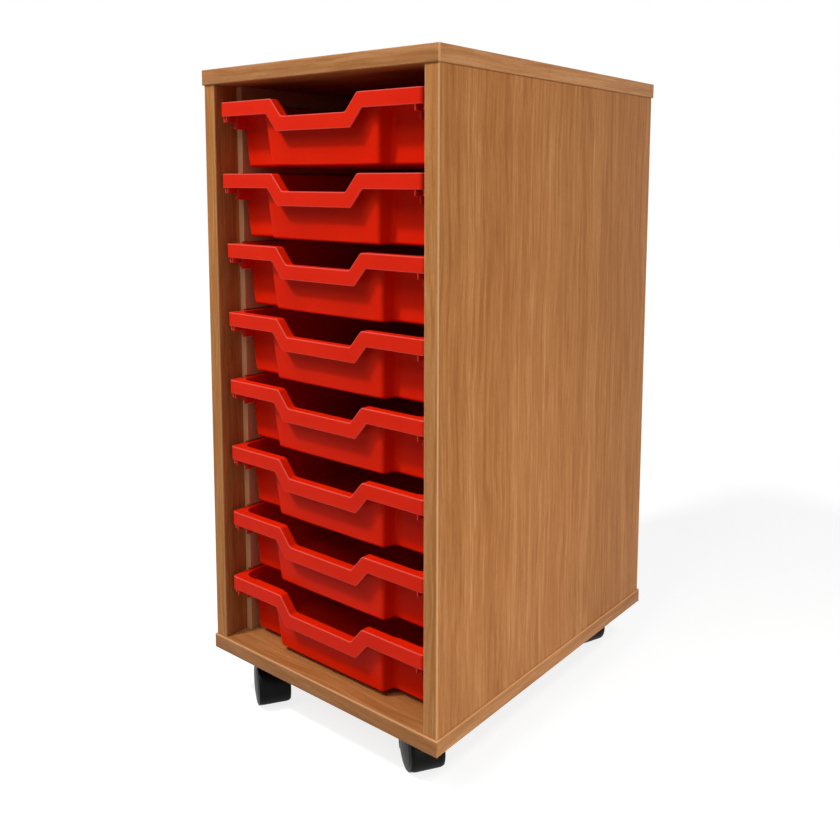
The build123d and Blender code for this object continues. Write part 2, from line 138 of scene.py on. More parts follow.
floor_paint, tree, shader, place = new_material("floor_paint")
away = node(tree, "VectorMath", {0: place}, operation="LENGTH").outputs["Value"]
glow = remapped(tree, away, *GLOW_ENDS, *FLOOR_GLOW)
feed(tree, shader, {
    "Base Color": FLOOR_GREY,
    "Roughness": 0.9,
    "Specular IOR Level": 0.0,
    "Emission Color": WHITE,
    "Emission Strength": reckoned(tree, "MULTIPLY", seen_directly(tree), glow),
})
floor_mesh = bpy.data.meshes.new("floor")
floor_corners = [(FLOOR_HALF * x, FLOOR_HALF * y, 0.0) for x, y in ((-1, -1), (1, -1), (1, 1), (-1, 1))]
floor_mesh.from_pydata(floor_corners, [], [(0, 1, 2, 3)])
floor_mesh.materials.append(floor_paint)
floor = bpy.data.objects.new("floor", floor_mesh)
scene.collection.objects.link(floor)

# ---- Base board --------------------------------------------------------------
# Chipboard faced with beech-grain melamine, its grain running across the unit.
# The printed grain is fine wavering streaks with thin light lines among them.
BEECH_STOPS = (          # the print's ramp: noise and colour
    (0.36, (0.300, 0.104, 0.0215)),
    (0.50, (0.395, 0.155, 0.0430)),
    (0.64, (0.490, 0.215, 0.0730)),
)
BEECH_LINE = (0.58, 0.29, 0.115, 1.0)
BEECH_FLECK = (0.20, 0.068, 0.016, 1.0)
GRAIN_STRETCH = 0.042    # how much slower the grain changes along the board
GRAIN_SWAY = 0.014       # metres that the streaks may waver
FINE_SHARE = 0.66        # of the fine streaks in the print, the rest being the broad ones
BROAD_STREAKS = (0.6 * GRAIN_STRETCH, 22.0, 3.0, 0.6)   # stretch, waves a metre, detail, roughness
FINE_STREAKS = (GRAIN_STRETCH, 190.0, 4.0, 0.75)
LINE_STREAKS = (0.016, 330.0, 2.0, 0.6)
FLECK_STREAKS = (0.10, 1500.0, 1.0, 0.5)
LINE_GROUND = (0.50, 0.62, 0.1, 0.75)    # broad noise from and to, and how strong the lines are there
LINE_TAIL = (0.58, 0.70)                 # noise over which a line sets in
FLECK_TAIL = (0.60, 0.74, 0.0, 0.35)     # noise over which a fleck does, and its strength from and to


def noise(tree, place, scale, detail, roughness=0.5):
    """Noise from 0 to 1, of so many waves a metre."""
    return node(tree, "TexNoise", {"Vector": place, "Scale": scale, "Detail": detail,
                                   "Roughness": roughness}).outputs["Fac"]


def tinted(tree, value, stops):
    """Colour read off a ramp, whose stops are pairs of a value and a colour."""
    ramp = node(tree, "ValToRGB", {0: value})
    elements = ramp.color_ramp.elements
    elements[0].position, elements[1].position = stops[0][0], stops[-1][0]
    elements[0].color, elements[1].color = (*stops[0][1], 1.0), (*stops[-1][1], 1.0)
    for place, colour in stops[1:-1]:
        elements.new(place).color = (*colour, 1.0)
    return ramp.outputs[0]


def mixed(tree, share, first, second):
    """The first colour where the share is 0, the second where it is 1."""
    return node(tree, "Mix", {0: share, 6: first, 7: second}, data_type="RGBA").outputs[2]


def bumped(tree, height, strength, distance=0.0001):
    """Surface direction over a fine relief."""
    return node(tree, "Bump", {"Height": height, "Strength": strength, "Distance": distance}).outputs[0]


def beech(name, grain, tone=(1.0, 1.0, 1.0), offset=(0.0, 0.0, 0.0)):
    """Melamine print, its place bent by a slow noise. Two stretched noises, broad and fine, are mixed
    and read off a dark-to-light ramp. The upper tail of a longer one gives the light lines, where the
    broad one is high, and the upper tail of a short one the dark flecks."""
    material, tree, shader, place = new_material(name)
    sway = node(tree, "TexNoise", {"Vector": place, "Scale": 7.0, "Detail": 1.0}).outputs["Color"]
    bent = node(tree, "VectorMath", {0: sway, 1: (GRAIN_SWAY,) * 3, 2: place},
                operation="MULTIPLY_ADD").outputs[0]

    def streaks(stretched, scale, detail, roughness):
        """Noise drawn out along the grain."""
        stretch = [1.0, 1.0, 1.0]
        stretch[grain] = stretched
        drawn = node(tree, "Mapping", {"Vector": bent, "Scale": stretch, "Location": offset}).outputs[0]
        return noise(tree, drawn, scale, detail, roughness)

    broad, fine = streaks(*BROAD_STREAKS), streaks(*FINE_STREAKS)
    total = node(tree, "Mix", {0: FINE_SHARE, 2: broad, 3: fine}).outputs[0]
    stops = [(value, [c * t for c, t in zip(colour, tone)]) for value, colour in BEECH_STOPS]
    ground = tinted(tree, total, stops)
    near = remapped(tree, broad, *LINE_GROUND)
    line = remapped(tree, streaks(*LINE_STREAKS), *LINE_TAIL, 0.0, near)
    fleck = remapped(tree, streaks(*FLECK_STREAKS), *FLECK_TAIL)
    feed(tree, shader, {
        "Base Color": mixed(tree, fleck, mixed(tree, line, ground, BEECH_LINE), BEECH_FLECK),
        "Roughness": remapped(tree, fine, 0.0, 1.0, 0.36, 0.50),
        "Specular IOR Level": 0.10,
        "Normal": bumped(tree, reckoned(tree, "SUBTRACT", fine, fleck), 0.12, 0.0002),
    })
    return material


def finish(material, *names):
    """Gives a finish to pieces that are shown as they came from the workshop drawing."""
    for name in names:
        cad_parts[name].material_slots[0].material = material


beech_across = beech("beech_across", 0)
finish(beech_across, "base_panel")

# ---- Edging ------------------------------------------------------------------
# Two-millimetre plastic edging in the same print, glued round the boards. Its
# outer arrises are rounded off, and a thin bright highlight is painted along them.
BOARD = 0.018
EDGING = 0.002
ARRIS = 0.0012
BASE_LOW = 0.065
HALF_WIDTH = 0.182       # top and base boards, over their edging
HALF_DEPTH = 0.230
SEAM = 0.00012           # the scraped joint between edging and board
ARC_STEPS = 6            # points round each arris
ARRIS_HIGHLIGHT_ENDS = (0.0006, 0.0016)         # metres from an arris between which its painted highlight fades out
# colour of the painted highlight along the arrises
ARRIS_HIGHLIGHT_BEECH = (0.66, 0.36, 0.17, 1.0)
PRINT_OFFSET = (0.13, 0.29, 0.41)    # shifts the strips' print against the boards'
PALER = (1.04, 1.13, 1.38)           # tone of the strips round the top and the base


def grid(points, around=False, caps=False):
    """Faces over a grid of points [row, column]. around joins the last column to the first, caps
    closes the first and the last row with fans to their middles. Closed shapes face outwards: each
    triangle adds a sixth of its corners' triple product to the volume, and where the sum is negative
    the faces are turned."""
    rows, columns = points.shape[:2]
    index = np.arange(rows * columns).reshape(rows, columns)
    after = np.roll(index, -1, axis=1) if around else index[:, 1:]
    here = index if around else index[:, :-1]
    quads = np.stack([here[:-1], after[:-1], after[1:], here[1:]], axis=-1).reshape(-1, 4)
    vertices = points.reshape(-1, 3)
    faces = [quads]
    if caps:
        vertices = np.concatenate([vertices, points[[0, -1]].mean(axis=1)])
        first, last = len(vertices) - 2, len(vertices) - 1
        faces.append(np.stack([np.full_like(here[0], first), after[0], here[0]], axis=-1))
        faces.append(np.stack([np.full_like(here[0], last), here[-1], after[-1]], axis=-1))
    triangles = np.concatenate([quads[:, :3], quads[:, [0, 2, 3]], *faces[1:]])
    a, b, c = (vertices[triangles[:, i]] for i in range(3))
    if np.einsum("ij,ij->", a, np.cross(b, c)) < 0:
        faces = [f[:, ::-1] for f in faces]
    return vertices, faces


def piece(name, parts, material, body, replaced=(), sharp=38.0):
    """One object from grids laid side by side, smooth but for edges sharper than an angle; it rides
    on a body, takes its finish from a slot and stands for the nodes that it replaces."""
    vertices, faces, start = [], [], 0
    for points, groups in parts:
        vertices.append(points)
        for group in groups:
            faces += (group + start).tolist()
        start += len(points)
    mesh = bpy.data.meshes.new(name)
    mesh.from_pydata(np.concatenate(vertices).tolist(), [], faces)
    mesh.materials.append(material)
    mesh.shade_smooth()
    mesh.set_sharp_from_angle(angle=math.radians(sharp))
    made = bpy.data.objects.new(name, mesh)
    scene.collection.objects.link(made)
    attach(made, body)
    if replaced:
        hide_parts(*replaced)
    return made


def strip(start, end, outward, across, width, rounded_ends):
    """Edging strip between two points on its inner face. Its section is a rectangle whose two outer
    corners are quarter circles: at each angle the thickness is the full one less the radius plus the
    radius times the sine, and the place across is the radius less the radius times the cosine. It is
    carried from end to end, and at rounded ends the thickness follows the same quarter circle."""
    start, end, outward, across = (np.array(v, float) for v in (start, end, outward, across))
    turn = np.linspace(0.0, math.pi / 2, ARC_STEPS)
    arc_thick = EDGING - ARRIS + ARRIS * np.sin(turn)
    arc_side = ARRIS * (1 - np.cos(turn))
    thick = np.concatenate([[0.0, SEAM], arc_thick, arc_thick[::-1], [SEAM, 0.0]])
    side = np.concatenate([[SEAM, 0.0], arc_side, width - arc_side[::-1], [width, width - SEAM]])
    length = np.linalg.norm(end - start)
    along, share = np.array([0.0, length]), np.ones(2)
    if rounded_ends:
        along = np.concatenate([arc_side, length - arc_side[::-1]])
        share = np.concatenate([arc_thick, arc_thick[::-1]]) / EDGING
    points = (
        start
        + along[:, None, None] * (end - start) / length
        + (share[:, None] * thick)[..., None] * outward
        + side[:, None] * across
    )
    return grid(points, around=True, caps=True)


def board_edging(low):
    """The four strips round the top or the base: the front and back ones cover the others' ends."""
    x, y = HALF_WIDTH - EDGING, HALF_DEPTH - EDGING
    up = (0, 0, 1)
    return [
        strip((-HALF_WIDTH, -y, low), (HALF_WIDTH, -y, low), (0, -1, 0), up, BOARD, True),
        strip((HALF_WIDTH, y, low), (-HALF_WIDTH, y, low), (0, 1, 0), up, BOARD, True),
        strip((x, -y, low), (x, y, low), (1, 0, 0), up, BOARD, False),
        strip((-x, y, low), (-x, -y, low), (-1, 0, 0), up, BOARD, False),
    ]


def highlit_edging_print(name, grain, tone, arrises):
    """The boards' own print on plastic, a little paler, with a highlight painted on it within about
    a millimetre of each arris, given as an axis, a distance along it and a share."""
    material = beech(name, grain, tone, PRINT_OFFSET)
    tree = material.node_tree
    shader = tree.nodes["Principled BSDF"]
    place = node(tree, "SeparateXYZ", {0: node(tree, "TexCoord").outputs["Object"]}).outputs
    # share of the painted highlight's colour near each arris
    painted_highlight = 0.0
    for axis, distance, most in arrises:
        off = reckoned(tree, "SUBTRACT", reckoned(tree, "ABSOLUTE", place[axis]), distance)
        share = remapped(tree, reckoned(tree, "ABSOLUTE", off), *ARRIS_HIGHLIGHT_ENDS, most, 0.0)
        painted_highlight = reckoned(tree, "MAXIMUM", painted_highlight, share)
    wood = shader.inputs["Base Color"].links[0].from_socket
    feed(tree, shader, {"Base Color": mixed(tree, painted_highlight, wood, ARRIS_HIGHLIGHT_BEECH)})
    return material


def lay_edging(name, low, end_arrises, side_arrises):
    """Front and back strips in one piece, side strips in another, since their grain differs."""
    strips = board_edging(low)
    runs = ((0, "_ends", strips[:2], end_arrises), (1, "_sides", strips[2:], side_arrises))
    for grain, part, cut, arrises in runs:
        plastic = highlit_edging_print(name + part, grain, PALER, arrises)
        piece(name + part, cut, plastic, "carcass", [name])


# painted highlight along the upper arris of the base's strips
lay_edging("base_edging", BASE_LOW, [(2, BASE_LOW + BOARD, 0.75)], [(2, BASE_LOW + BOARD, 0.65)])

# ---- Side boards -------------------------------------------------------------
# The sides stand on the base and carry the top, dowelled and glued. Their grain
# runs upwards, and each has an edging strip down its front and its back edge.
SIDE_FACE = 0.180        # outer face of a side board
SIDE_FRONT = 0.228       # over its edging
TOP_LOW = 0.771
EVEN = (1.11, 1.12, 1.10)            # tone of the strips down the sides
DOWEL_TONE = (1.15, 1.15, 1.15)

inner = SIDE_FACE - BOARD
beech_upright = beech("beech_upright", 2)
finish(beech_upright, "left_side_panel", "right_side_panel")
finish(beech("dowel_beech", 2, DOWEL_TONE), "top_joint_dowels", "base_joint_dowels")
# painted highlight along the outer and the inner arris of the side strips
edging_up = highlit_edging_print("edging_up", 2, EVEN, [(0, SIDE_FACE, 0.75), (0, inner, 0.5)])
y, low, high = SIDE_FRONT - EDGING, BASE_LOW + BOARD, TOP_LOW
for name, side in (("left", -1), ("right", 1)):
    edge = min(side * inner, side * SIDE_FACE)
    strips = [
        strip((edge, -y, high), (edge, -y, low), (0, -1, 0), (1, 0, 0), BOARD, False),
        strip((edge, y, low), (edge, y, high), (0, 1, 0), (1, 0, 0), BOARD, False),
    ]
    piece(name + "_side_edge", strips, edging_up, "carcass", [name + "_side_edging"])

# ---- Back board --------------------------------------------------------------
# A thinner board with the same upright grain, let into grooves in the other four.
# The trays hide it from the front.
finish(beech_upright, "back_panel")

# ---- Top board ---------------------------------------------------------------
# The twin of the base board, laid over the sides with a 2 mm overhang all round.
# Its front and back strips have a painted highlight along the arrises at their ends.
finish(beech_across, "top_panel")
lay_edging("top_edging", TOP_LOW, [(0, HALF_WIDTH, 0.75)], [])

# ---- Runner panels -----------------------------------------------------------
# Pale sand-coloured mouldings, screwed inside the two sides, with one open groove
# for each tray's rim. Only the left one's front end shows, beside the trays.
RUNNER_STOPS = ((0.0, (0.60, 0.35, 0.17)), (1.0, (0.70, 0.41, 0.21)))

runner_plastic, tree, shader, place = new_material("runner_plastic")
feed(tree, shader, {
    "Base Color": tinted(tree, noise(tree, place, 60.0, 3.0), RUNNER_STOPS),
    "Roughness": 0.5,
    "Normal": bumped(tree, noise(tree, place, 2400.0, 2.0), 0.15),
})
finish(runner_plastic, "left_runner_panel", "right_runner_panel")

# ---- Screws, castor plates and stems -----------------------------------------
# Zinc-plated steel: hexagon screws hold the runners and the castor plates, and
# each plate carries its castor's riveted stem. The axles have the same finish.
CASTORS = ("front_left", "front_right", "rear_left", "rear_right")
ZINC_STOPS = ((0.0, (0.44, 0.45, 0.46)), (1.0, (0.62, 0.62, 0.62)))

zinc, tree, shader, place = new_material("zinc_plate")
spangle = node(tree, "TexVoronoi", {"Vector": place, "Scale": 420.0}).outputs["Color"]
feed(tree, shader, {
    "Base Color": tinted(tree, spangle, ZINC_STOPS),
    "Roughness": remapped(tree, noise(tree, place, 300.0, 4.0), 0.0, 1.0, 0.28, 0.48),
    "Metallic": 1.0,
})
finish(zinc, "left_runner_screws", "right_runner_screws", "castor_plates", "castor_stems", "castor_screws")
finish(zinc, *[name + "_castor_axle" for name in CASTORS])

# ---- Castors -----------------------------------------------------------------
# Black nylon twin-wheel castors. A hood covers the treads of both wheels down to
# just above the floor, and its neck turns on the stem; the wheels run on one axle.
TRAIL = 0.018
WHEEL_RADIUS = 0.025
WHEEL_INSIDE = 0.0066    # inner face of a wheel, from the middle of the castor
WHEEL_OUTSIDE = 0.0196   # where its tread ends
WHEEL_DOME = 0.002       # how far the outer face rises from there
WHEEL_CROWN = 0.0002     # how far the tread's middle stands over its inner edge
INNER_ROUNDING, OUTER_ROUNDING = 0.0008, 0.0020   # of the tread's edges
FACE_RINGS = (0.0225, 0.0218, 0.0214, 0.0210, 0.0206, 0.0170, 0.0130, 0.0090, 0.0050, 0.0006)
GROOVE_RINGS, GROOVE_DEPTH = (0.0210, 0.0214), 0.0003
HOOD_INSIDE = 0.0256     # about the axle
HOOD_OUTSIDE = 0.0274
HOOD_LOW = 0.0085
SHOULDER = 0.005         # width of the hood's rounded edges
SHOULDER_FLAT = 0.0002   # level edge left inside them
SHOULDER_POINTS = 9
COVER_STEPS = 60         # even steps of the cover, between its two lips
HOOD_CORNER = 0.0035     # rounding of its lower corners, seen from the front
LIP_ANGLES = (0.0, 0.006, 0.014, 0.024, 0.045, 0.070, 0.100, 0.132)   # from its low edge, radians
LIP_THICKNESS = (0.45, 0.75, 0.93, 1.0)   # share of the wall at the first four of them
LIP_END = 0.17           # where the even steps over the wheels start
CORE_HALF = 0.0062
CORE_RADIUS = 0.022
CORE_BORE = 0.0031
WEB_REACH = 0.6          # radians above the axle where the web ends
WEB_OVERLAP = 0.0015     # how far it runs into the core
WEB_BEVEL = (0.93, 0.0004)   # share of its width that is cut level, and how much higher its faces end
NECK_RADIUS = 0.0095
NECK_FOOT = (0.15, 0.4, 0.7, 0.9, 1.0)   # rings of its foot, as shares of that
NECK_TOP = 0.0606
NECK_BARE = 0.004        # height of the neck that shows over the hood
NECK_MOUTH = (0.0062, 0.0049)    # radii of the stem's hole, at the top and below its chamfer
NECK_STEPS = 64          # points round it
ROUNDING = 0.0008        # of the core's and the neck's edges
CORNER_POINTS = 5        # of those and of the tread's inner edge
CHAMFER = 0.0003         # at the bores
BORE_RADIUS = 0.00305
BORE_END = 0.0171
BORE_TIP = 0.2           # share of its radius inside which its end is closed
STEM_X, STEM_Y = 0.131, 0.184
HEADINGS = {"front_left": -32.0, "front_right": 148.0, "rear_left": 152.0, "rear_right": 160.0}
NYLON_STOPS = ((0.3, (0.0035, 0.0034, 0.0032)), (1.0, (0.0085, 0.0082, 0.0078)))

nylon, tree, shader, place = new_material("black_nylon")
dust = noise(tree, place, 90.0, 4.0, 0.7)
feed(tree, shader, {
    "Base Color": tinted(tree, dust, NYLON_STOPS),
    "Roughness": remapped(tree, dust, 0.0, 1.0, 0.30, 0.46),
    "Specular IOR Level": 0.07,
    "Normal": bumped(tree, noise(tree, place, 3200.0, 2.0), 0.12),
})


def turned(profile, steps=72):
    """Body turned about the axle, the Y line through (TRAIL, 0, WHEEL_RADIUS): each point of a closed
    profile, a radius and a place along the axle, goes round it, off by the radius times the angle's
    cosine in X and times its sine in Z."""
    radius, along = np.array(profile, float).T
    angle = np.linspace(0.0, 2 * math.pi, steps, endpoint=False)
    points = np.stack(
        [
            TRAIL + radius[:, None] * np.cos(angle),
            np.broadcast_to(along[:, None], (len(radius), steps)),
            WHEEL_RADIUS + radius[:, None] * np.sin(angle),
        ],
        axis=-1,
    )
    return grid(points, around=True, caps=True)


def corner(centre, radius, start, stop, steps=CORNER_POINTS):
    """Arc of a profile, from start to stop in degrees: the centre plus the radius times the angle's
    cosine and sine."""
    angle = np.radians(np.linspace(start, stop, steps))
    return np.stack([centre[0] + radius * np.cos(angle), centre[1] + radius * np.sin(angle)], axis=-1)


def wheel(side):
    """Wheel with a slightly crowned tread, rounded edges, a domed outer face with a fine groove near
    its rim, and a blind bore: a profile from the bore's end, round the outside and back to the axle.
    The dome is part of a ball, whose radius is the face's radius squared plus the rise squared, over
    twice the rise. Each ring lies below its top by the ball's radius less the root of that radius
    squared less the ring's own squared."""
    a, b, face = WHEEL_INSIDE, WHEEL_OUTSIDE, WHEEL_RADIUS - OUTER_ROUNDING
    edge = WHEEL_RADIUS - WHEEL_CROWN - INNER_ROUNDING
    ball = (face ** 2 + WHEEL_DOME ** 2) / (2 * WHEEL_DOME)
    radius = np.array(FACE_RINGS)
    groove = np.where(np.isin(radius, GROOVE_RINGS), GROOVE_DEPTH, 0.0)
    dome = b + WHEEL_DOME - (ball - np.sqrt(ball ** 2 - radius ** 2)) - groove
    profile = np.concatenate([
        [(BORE_RADIUS * BORE_TIP, BORE_END), (BORE_RADIUS, BORE_END), (BORE_RADIUS, a + CHAMFER)],
        [(BORE_RADIUS + CHAMFER, a), (edge, a)],
        corner((edge, a + INNER_ROUNDING), INNER_ROUNDING, -90, 0),
        [(WHEEL_RADIUS, (a + b) / 2)],
        corner((face, b - OUTER_ROUNDING), OUTER_ROUNDING, 0, 80, steps=7),
        np.stack([radius, dome], axis=-1),
    ])
    profile[:, 1] *= side
    return turned(profile)


def hood_cover():
    """Cover over the treads: a thin section, flat inside and with elliptical shoulders outside,
    carried round the axle from one low edge over the top to the other. Near the low edges it gets
    thinner, and narrower by the corner's radius less the root of that radius squared less the square
    of what is left of it along the wall."""
    turn = np.linspace(0.0, math.pi / 2, SHOULDER_POINTS)
    half = WHEEL_OUTSIDE
    wide = half - SHOULDER + SHOULDER * np.cos(turn)
    rise = HOOD_INSIDE + SHOULDER_FLAT + (HOOD_OUTSIDE - HOOD_INSIDE - SHOULDER_FLAT) * np.sin(turn)
    across = np.concatenate([wide, -wide[::-1], [-half + SHOULDER_FLAT, half - SHOULDER_FLAT]])
    radius = np.concatenate([rise, rise[::-1], [HOOD_INSIDE, HOOD_INSIDE]])
    drop = math.asin((WHEEL_RADIUS - HOOD_LOW) / HOOD_OUTSIDE)
    lip = np.array(LIP_ANGLES)
    over = np.linspace(-drop + LIP_END, math.pi + drop - LIP_END, COVER_STEPS)
    angle = np.concatenate([-drop + lip, over, math.pi + drop - lip[::-1]])
    turned_in = np.minimum(angle + drop, math.pi + drop - angle)
    thick = np.interp(turned_in, lip[:4], LIP_THICKNESS)
    middle = (HOOD_OUTSIDE + HOOD_INSIDE) / 2
    spread = middle + (radius - middle) * thick[:, None]
    short = np.maximum(HOOD_CORNER - turned_in * middle, 0.0)
    narrow = 1 - (HOOD_CORNER - np.sqrt(HOOD_CORNER ** 2 - short ** 2)) / half
    points = np.stack(
        [
            TRAIL + spread * np.cos(angle)[:, None],
            across * narrow[:, None],
            WHEEL_RADIUS + spread * np.sin(angle)[:, None],
        ],
        axis=-1,
    )
    return grid(points, around=True, caps=True)


def hood_core():
    """Disc between the wheels, with rounded rims, that holds the axle."""
    half, edge = CORE_HALF, CORE_RADIUS - ROUNDING
    mouth, deep = CORE_BORE + CHAMFER, half - CHAMFER * 2 / 3
    return turned(np.concatenate([
        [(CORE_BORE, -deep), (mouth, -half)],
        corner((edge, -half + ROUNDING), ROUNDING, -90, 0),
        corner((edge, half - ROUNDING), ROUNDING, 0, 90),
        [(mouth, half), (CORE_BORE, deep)],
    ]))


def hood_web():
    """Web between the wheels, from inside the core to the middle of the cover's wall: two arcs about
    the axle, cut level at the hood's low edge, which is a little higher on the two faces."""
    low, steps = WHEEL_RADIUS - HOOD_LOW, 20
    level, higher = WEB_BEVEL
    radius = np.array([(HOOD_INSIDE + HOOD_OUTSIDE) / 2, CORE_RADIUS - WEB_OVERLAP])
    out, back = (np.linspace(math.pi + math.asin(low / r), math.pi - WEB_REACH, steps) for r in radius)
    radius, angle = np.repeat(radius, steps), np.concatenate([out, back[::-1]])
    across = CORE_HALF * np.array([-1.0, -level, level, 1.0])[:, None]
    rise = np.array([higher, 0.0, 0.0, higher])[:, None]
    up = np.maximum(WHEEL_RADIUS + radius * np.sin(angle), HOOD_LOW + rise)
    flat = np.broadcast_to(TRAIL + radius * np.cos(angle), up.shape)
    return grid(np.stack([flat, np.broadcast_to(across, up.shape), up], axis=-1), around=True, caps=True)


def hood_neck():
    """Upright neck round the stem. Where it stands on the cover its foot follows the middle of the
    wall: the axle's height plus the root of the wall's radius squared less the distance in front of
    the axle squared. Behind the cover it hangs down to the axle's height."""
    angle = np.linspace(0.0, 2 * math.pi, NECK_STEPS, endpoint=False)
    bend = np.linspace(0.0, math.pi / 2, CORNER_POINTS)
    rings = len(NECK_FOOT)
    edge = NECK_RADIUS - ROUNDING * (1 - np.cos(bend))
    radius = np.concatenate([NECK_RADIUS * np.array(NECK_FOOT), [NECK_RADIUS], edge, NECK_MOUTH])
    x = radius[:, None] * np.cos(angle)
    y = radius[:, None] * np.sin(angle)
    wall = (HOOD_INSIDE + HOOD_OUTSIDE) / 2
    foot = WHEEL_RADIUS + np.sqrt(np.maximum(wall ** 2 - (x - TRAIL) ** 2, 0.0))
    top = np.concatenate([np.zeros(rings), [NECK_TOP - NECK_BARE], NECK_TOP - ROUNDING * (1 - np.sin(bend)),
                          [NECK_TOP, NECK_TOP - 2 * CHAMFER]])
    z = np.where(np.arange(len(radius))[:, None] < rings, foot, top[:, None])
    return grid(np.stack([x, y, z], axis=-1), around=True, caps=True)


def put(part, castor):
    """Turns a castor's part to its heading about the swivel line and sets it at its corner."""
    vertices, faces = part
    across, along = castor.split("_")[1], castor.split("_")[0]
    heading = math.radians(HEADINGS[castor])
    turn = np.array([[math.cos(heading), math.sin(heading), 0.0],
                     [-math.sin(heading), math.cos(heading), 0.0], [0.0, 0.0, 1.0]])
    place = [STEM_X if across == "right" else -STEM_X, STEM_Y if along == "rear" else -STEM_Y, 0.0]
    return vertices @ turn + place, faces


for castor in CASTORS:
    body = castor + "_castor"
    hood = [put(part, castor) for part in (hood_cover(), hood_core(), hood_web(), hood_neck())]
    piece(castor + "_hood", hood, nylon, body, [body + "_hood"])
    for number, side in ((1, -1), (2, 1)):
        name = f"{castor}_wheel_{number}"
        piece(name + "_tread", [put(wheel(side), castor)], nylon, name, [name])

# ---- Trays -------------------------------------------------------------------
# Eight identical injection-moulded polypropylene trays with a satin finish. Each
# hangs by its rolled rim in a pair of grooves; the deep front band dips in the
# middle for the fingers, and short returns behind its ends meet the runners.
TOP_TRAY = 0.750                          # metres from the floor to the highest rim
TRAY_PITCH, TRAY_COUNT = 0.0837, 8
TRAY_OUT = {1: 0.0046, 2: 0.0047, 8: 0.0015}   # metres by which some trays stand out from their stops
TRAY_FRONT, TRAY_BACK = -219.3, 207.7     # millimetres from here to the tray's surface
RIM_HALF, BODY_HALF = 156.0, 150.0
TRAY_HEIGHT, WALL = 75.0, 2.2
COLLAR_SETBACK, COLLAR_DEPTH = 10.0, 12.0
FRONT_CORNERS = (3.0, 16.2, 4.5)          # corner radii of body, collar and rim
BACK_CORNERS = (10.0, 22.0, 5.0)
PANEL_HALF, PANEL_TAPER, PANEL_RAKE, PANEL_FLARE = 89.5, 5.0, 6.0, 0.25
END_SETBACK, END_RAKE, SIDE_TAPER = 19.0, 2.0, 8.0
PANEL_CUT, ROOT_CUT = 3.9, 3.9            # corner cuts where the front wall steps back
INNER_CUT = 1.4                           # how much those cuts differ on the wall's inside
SPARE_STEP, SPARE_CUT = 5.0, 2.0          # the same corners where collar and rim run straight on
LEAST_CUT = 0.5
DEEP_INSET = 0.5                          # rows set in by more than this have the inner cuts
DIP_TOP, DIP_BOTTOM, DIP_DEPTH = 67.0, 50.0, 19.9
DIP_ROUNDING = (5.0, 3.0)                 # at the band's upper and lower edge
BAND, SIDE_LIP = 16.7, 9.0
DIP_PLACES = (0.0, 16.0, 32.0, 43.0, *np.arange(46.0, 80.0, 0.85), 83.0)   # columns across the front
SIDE_PLACES = (60.0, 130.0, 230.0, 320.0) # and along the sides, behind the returns
STEP_SHARES = (0.33, 0.67)                # on the wall beside the panel, as shares of its length
END_SHARES = (0.2, 0.45, 0.7)             # on the end wall next to it
BACK_SHARES = (0.3, 0.65, 1.0)            # on half the back
BEND_POINTS = (5, 5, 10, 8)               # round the four corners between these
SIDE_RUN = 3                              # the side's number among the five straights
RETURNS = ((4.6, 16.7), (5.0, 23.0), (19.1, 23.0), (19.5, 30.0), (25.0, 30.0), (25.4, 9.0))
RIM_EDGE, LIP_EDGE, MOUTH_EDGE = 0.9, 0.7, 1.3   # edge roundings
FLOOR_EDGE, FLOOR_INSIDE = 3.0, 2.4
SUPPORT = 0.35                            # flat kept beside each rounding
NOOK = ((0.0, 0.8), (0.3, 0.2), (0.9, 0.0))   # filling of the corners under the rim: out, down
PLAIN_INSIDE = (-55.0, -38.0, -24.0, -13.6)   # heights of the rows between the edges
PLAIN_OUTSIDE = (-28.0, -42.0, -58.0)
PLAIN_COLLAR = (-8.0, -13.2)
LEDGE_INSIDE = ((0, -13.0), (0.006, -12.5), (0.03, -12.1), (0.07, -12.0),   # kind, height
                (0.93, -12.0), (0.97, -11.9), (0.994, -11.5), (1, -11.0), (1, -6.0))
LEDGE_OUTSIDE = ((0.994, -13.7), (0.97, -14.1), (0.93, -14.2), (0.07, -14.2),
                 (0.03, -14.4), (0.006, -14.8), (0, -15.4))
ARC = 5                                   # points round each edge
NEARLY = 1e-6
RETURN_WEB = (22.8, 25.0)                 # web behind the step of a return, back from the band
RETURN_INSET = 3.4                        # its inner end, in from the body's side
WEB_LOW = -30.0                           # its foot
WEB_INSET = 0.4                           # its outer end, in from the rim's face
WEB_LAP = 0.8                             # share of a wall by which it starts further out behind the rim
GUSSETS = (                               # across, back from the band and height of each
    ((145.4, 147.0), (0.8, 17.8), (-23.0, -1.1)),
    ((142.6, 144.2), (12.4, 30.3), (-31.0, -13.1)),
)
WEB_ROUNDING = 0.0005                     # metres, of the webs' and gussets' edges
WEB_ARC = 4                               # points on each half of those
WEB_FRONT = 0.0006                        # metres behind their front that count as front edge, for its painted highlight
WEB_ROW = -5.0                            # row number given to those points
ROW_FADE = 0.5                            # rows over which a band of painted highlight fades out


def dip_line(x, drop):
    """Height of the line that runs a distance, drop, square below the edge of the finger dip: a
    level, a slope and a lower level. Each corner is an arc: the height of its centre, plus at the
    lip and less at the bottom the root of the radius squared less the distance across squared."""
    x = np.abs(x)
    slope = math.atan2(DIP_DEPTH, DIP_TOP - DIP_BOTTOM)
    shift = drop * math.tan(slope / 2)
    top, bottom = DIP_TOP + shift, DIP_BOTTOM + shift
    radius = np.interp(drop, [0.0, BAND], DIP_ROUNDING)
    cut = radius * math.tan(slope / 2)
    fall = -drop - (top - x) * math.tan(slope)
    z = np.maximum(np.minimum(fall, -drop), -DIP_DEPTH - drop)
    at_top = (x > top - cut * math.cos(slope)) & (x < top + cut)
    at_bottom = (x > bottom - cut) & (x < bottom + cut * math.cos(slope))
    over = radius ** 2 - (x - top - cut) ** 2
    under = radius ** 2 - (x - bottom + cut) ** 2
    z = np.where(at_top, -drop - radius + np.sqrt(np.maximum(over, 0)), z)
    return np.where(at_bottom, -DIP_DEPTH - drop + radius - np.sqrt(np.maximum(under, 0)), z)


